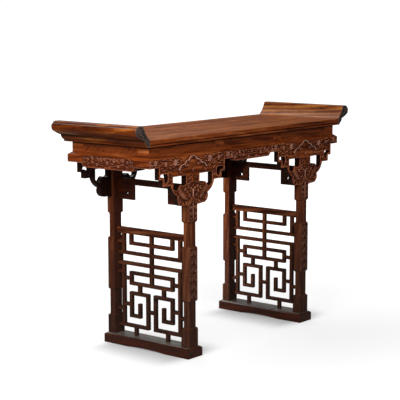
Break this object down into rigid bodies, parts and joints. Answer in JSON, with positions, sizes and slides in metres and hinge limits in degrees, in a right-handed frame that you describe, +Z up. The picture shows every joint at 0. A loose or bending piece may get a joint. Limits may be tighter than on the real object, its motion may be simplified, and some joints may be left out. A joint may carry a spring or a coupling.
{
  "type": "altar table",
  "caption": "Long narrow table with upturned ends on a waisted apron, carried by two trestle ends with shoe feet, cloud spandrels and key-fret lattices.",
  "frame": {"origin": "on the floor under the middle of the top", "axes": "+X along the top, -Y towards the front, +Z up"},
  "size_m": [1.348, 0.426, 0.88],
  "materials": {
    "top_wood": "polished, with golden lengthwise figure",
    "end_wood": "polished, streaked across the table",
    "apron_wood": "waxed, carved in low relief",
    "carved_wood": "waxed, deeply carved",
    "leg_wood": "waxed",
    "shoe_wood": "polished dark",
    "inner_wood": "dark, unpolished",
    "lattice_wood": "waxed"
  },
  "bodies": {
    "root": {"apron_back": "apron_wood", "apron_front": "apron_wood", "apron_left": "apron_wood", "apron_right": "apron_wood", "batten_left": "inner_wood", "batten_middle": "inner_wood", "batten_right": "inner_wood", "bracket_plate_left_back": "inner_wood", "bracket_plate_left_front": "inner_wood", "bracket_plate_right_back": "inner_wood", "bracket_plate_right_front": "inner_wood", "cross_rail_left": "inner_wood", "cross_rail_right": "inner_wood", "everted_end_left": "end_wood", "everted_end_right": "end_wood", "left_centre_post": "lattice_wood", "left_foot_posts": "lattice_wood", "left_fret_hanger": "lattice_wood", "left_fret_rectangle": "lattice_wood", "left_fret_spiral_back": "lattice_wood", "left_fret_spiral_front": "lattice_wood", "left_lattice_rail": "lattice_wood", "left_lower_crossbar": "lattice_wood", "left_lower_outer_post_back": "lattice_wood", "left_lower_outer_post_front": "lattice_wood", "left_tie_blocks": "lattice_wood", "left_upper_crossbar": "lattice_wood", "left_upper_outer_post_back": "lattice_wood", "left_upper_outer_post_front": "lattice_wood", "leg_left_back": "leg_wood", "leg_left_front": "leg_wood", "leg_right_back": "leg_wood", "leg_right_front": "leg_wood", "right_centre_post": "lattice_wood", "right_foot_posts": "lattice_wood", "right_fret_hanger": "lattice_wood", "right_fret_rectangle": "lattice_wood", "right_fret_spiral_back": "lattice_wood", "right_fret_spiral_front": "lattice_wood", "right_lattice_rail": "lattice_wood", "right_lower_crossbar": "lattice_wood", "right_lower_outer_post_back": "lattice_wood", "right_lower_outer_post_front": "lattice_wood", "right_tie_blocks": "lattice_wood", "right_upper_crossbar": "lattice_wood", "right_upper_outer_post_back": "lattice_wood", "right_upper_outer_post_front": "lattice_wood", "shoe_left": "shoe_wood", "shoe_right": "shoe_wood", "spandrel_left_back": "carved_wood", "spandrel_left_front": "carved_wood", "spandrel_right_back": "carved_wood", "spandrel_right_front": "carved_wood", "top_board": "top_wood", "waist_back": "apron_wood", "waist_front": "apron_wood", "waist_left": "apron_wood", "waist_right": "apron_wood"}
  },
  "joints": []
}
